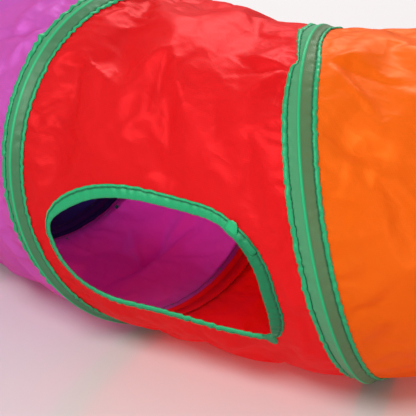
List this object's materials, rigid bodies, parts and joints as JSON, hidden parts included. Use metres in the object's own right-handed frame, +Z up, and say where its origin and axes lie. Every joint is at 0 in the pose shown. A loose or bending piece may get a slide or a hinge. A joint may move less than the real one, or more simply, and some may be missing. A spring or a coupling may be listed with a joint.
{
  "type": "pet agility tunnel",
  "caption": "Collapsible S-shaped fabric tunnel for small pets: coloured sections between sprung wire hoops in green casing tape, with bound windows on its bends",
  "frame": {"origin": "under the middle of the bounding box, on the floor", "axes": "+X runs from the green end to the yellow end of the S, +Z is up, and the S curves in the XY plane"},
  "size_m": [1.1724, 0.559, 0.2471],
  "materials": {
    "casing_tape": "folded polyester binding tape, satin",
    "spring_steel": "bright sprung steel wire",
    "crimp": "plated crimp tube",
    "webbing": "flat woven strap webbing",
    "hook_and_loop": "matt hook and loop pad",
    "label_ribbon": "blank satin ribbon label",
    "yellow_fabric": "thin glossy polyester taffeta",
    "orange_fabric": "thin glossy polyester taffeta",
    "red_fabric": "thin glossy polyester taffeta",
    "purple_fabric": "thin glossy polyester taffeta",
    "navy_fabric": "thin glossy polyester taffeta",
    "sky_fabric": "thin glossy polyester taffeta",
    "green_fabric": "thin glossy polyester taffeta"
  },
  "bodies": {
    "ring_4": {"spring_hoop_4": "spring_steel", "hoop_sleeve_4": "crimp", "hoop_casing_4": "casing_tape"},
    "ring_3": {"spring_hoop_3": "spring_steel", "hoop_sleeve_3": "crimp", "hoop_casing_3": "casing_tape", "red_panel": "red_fabric", "red_window_binding": "casing_tape"},
    "ring_2": {"spring_hoop_2": "spring_steel", "hoop_sleeve_2": "crimp", "hoop_casing_2": "casing_tape", "orange_panel": "orange_fabric"},
    "ring_1": {"spring_hoop_1": "spring_steel", "hoop_sleeve_1": "crimp", "hoop_casing_1": "casing_tape", "yellow_panel": "yellow_fabric", "care_label": "label_ribbon", "loop_pad_1": "hook_and_loop", "loop_pad_2": "hook_and_loop"},
    "ring_5": {"spring_hoop_5": "spring_steel", "hoop_sleeve_5": "crimp", "hoop_casing_5": "casing_tape", "purple_panel": "purple_fabric"},
    "ring_6": {"spring_hoop_6": "spring_steel", "hoop_sleeve_6": "crimp", "hoop_casing_6": "casing_tape", "navy_panel": "navy_fabric"},
    "ring_7": {"spring_hoop_7": "spring_steel", "hoop_sleeve_7": "crimp", "hoop_casing_7": "casing_tape", "sky_panel": "sky_fabric", "sky_window_binding": "casing_tape"},
    "ring_8": {"spring_hoop_8": "spring_steel", "hoop_sleeve_8": "crimp", "hoop_casing_8": "casing_tape", "green_panel": "green_fabric"},
    "strap_1": {"fold_strap_1": "webbing", "hook_pad_1": "hook_and_loop"},
    "strap_2": {"fold_strap_2": "webbing", "hook_pad_2": "hook_and_loop"}
  },
  "joints": [
    {"name": "fold_red", "type": "hinge", "parent": "ring_4", "child": "ring_3", "pos_m": [0.2378, 0.0896, 0.1232], "axis": [0, 0, -1], "range_deg": [0, 35.5], "deforming": ["red_panel", "hoop_casing_3", "hoop_casing_4", "red_window_binding"]},
    {"name": "fold_orange", "type": "hinge", "parent": "ring_3", "child": "ring_2", "pos_m": [0.2495, 0.0869, 0.1232], "axis": [0, 0, -1], "range_deg": [0, 35.5], "deforming": ["orange_panel", "hoop_casing_2", "hoop_casing_3"]},
    {"name": "fold_yellow", "type": "hinge", "parent": "ring_2", "child": "ring_1", "pos_m": [0.2606, 0.0916, 0.1232], "axis": [0, 0, -1], "range_deg": [0, 35.5], "deforming": ["yellow_panel", "hoop_casing_1", "hoop_casing_2", "care_label", "loop_pad_1", "loop_pad_2"]},
    {"name": "fold_purple", "type": "hinge", "parent": "ring_4", "child": "ring_5", "pos_m": [1.1214, 0.8929, 0.1232], "axis": [0, 0, 1], "range_deg": [0, 6], "deforming": ["purple_panel", "hoop_casing_5", "hoop_casing_4"]},
    {"name": "fold_navy", "type": "hinge", "parent": "ring_5", "child": "ring_6", "pos_m": [-0.2591, -0.0843, 0.1232], "axis": [0, 0, -1], "range_deg": [0, 35.5], "deforming": ["navy_panel", "hoop_casing_6", "hoop_casing_5"]},
    {"name": "fold_sky", "type": "hinge", "parent": "ring_6", "child": "ring_7", "pos_m": [-0.2705, -0.0804, 0.1232], "axis": [0, 0, -1], "range_deg": [0, 35.5], "deforming": ["sky_panel", "hoop_casing_7", "hoop_casing_6", "sky_window_binding"]},
    {"name": "fold_green", "type": "hinge", "parent": "ring_7", "child": "ring_8", "pos_m": [-0.282, -0.0839, 0.1232], "axis": [0, 0, -1], "range_deg": [0, 35.5], "deforming": ["green_panel", "hoop_casing_8", "hoop_casing_7", "fold_strap_1", "fold_strap_2", "hook_pad_1", "hook_pad_2"]},
    {"name": "lift_strap_1", "type": "hinge", "parent": "ring_8", "child": "strap_1", "pos_m": [-0.57466, 0.13659, 0.15451], "axis": [0.1553, -0.217, 0.9637], "range_deg": [0, 110]},
    {"name": "lift_strap_2", "type": "hinge", "parent": "ring_8", "child": "strap_2", "pos_m": [-0.51862, 0.06618, 0.23996], "axis": [0.6261, -0.7486, 0.2179], "range_deg": [0, 110]}
  ]
}
